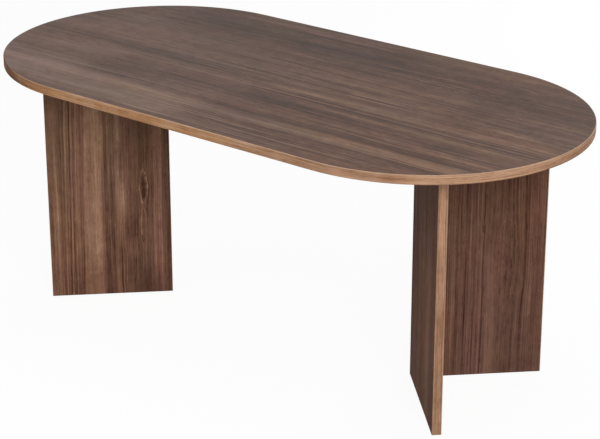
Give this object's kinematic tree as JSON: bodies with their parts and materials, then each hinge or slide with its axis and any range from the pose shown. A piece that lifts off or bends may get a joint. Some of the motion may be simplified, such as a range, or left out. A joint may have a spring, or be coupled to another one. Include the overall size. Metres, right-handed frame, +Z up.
{
  "type": "oval dining table",
  "caption": "Oval dining table with a flat racetrack top in walnut-grain board on vee-shaped panel bases, held by cam fittings and dowels.",
  "frame": {"origin": "on the floor, under the middle of the top", "axes": "+X along the table's length, +Y across it to the rear, +Z up"},
  "size_m": [1.7996, 0.9, 0.752],
  "materials": {
    "top_walnut": "walnut-grain melamine on particle board, satin",
    "panel_walnut": "walnut-grain melamine on particle board, satin",
    "edge_band": "light walnut-grain edge band, satin, arrises rounded",
    "foot_band": "thin walnut-brown edge band, satin",
    "fitting_steel": "zinc plated, bright",
    "cam_zinc": "die-cast zinc, plain",
    "beech": "bare beech, fluted",
    "cap_plastic": "brown moulded plastic, satin",
    "glide_plastic": "black moulded plastic, satin"
  },
  "bodies": {
    "root": {"top_board": "top_walnut", "top_edge_band": "edge_band", "left_front_panel": "panel_walnut", "left_rear_panel": "panel_walnut", "right_front_panel": "panel_walnut", "right_rear_panel": "panel_walnut", "left_front_tip_band": "edge_band", "left_rear_tip_band": "edge_band", "right_front_tip_band": "edge_band", "right_rear_tip_band": "edge_band", "left_corner_band": "edge_band", "right_corner_band": "edge_band", "left_front_foot_band": "foot_band", "left_rear_foot_band": "foot_band", "right_front_foot_band": "foot_band", "right_rear_foot_band": "foot_band", "left_corner_bolts": "fitting_steel", "right_corner_bolts": "fitting_steel", "left_corner_cams": "cam_zinc", "right_corner_cams": "cam_zinc", "left_corner_dowels": "beech", "right_corner_dowels": "beech", "left_top_bolts": "fitting_steel", "right_top_bolts": "fitting_steel", "left_top_cams": "cam_zinc", "right_top_cams": "cam_zinc", "left_top_dowels": "beech", "right_top_dowels": "beech", "left_cam_caps": "cap_plastic", "right_cam_caps": "cap_plastic", "left_floor_glides": "glide_plastic", "right_floor_glides": "glide_plastic", "left_glide_nails": "fitting_steel", "right_glide_nails": "fitting_steel"}
  },
  "joints": []
}
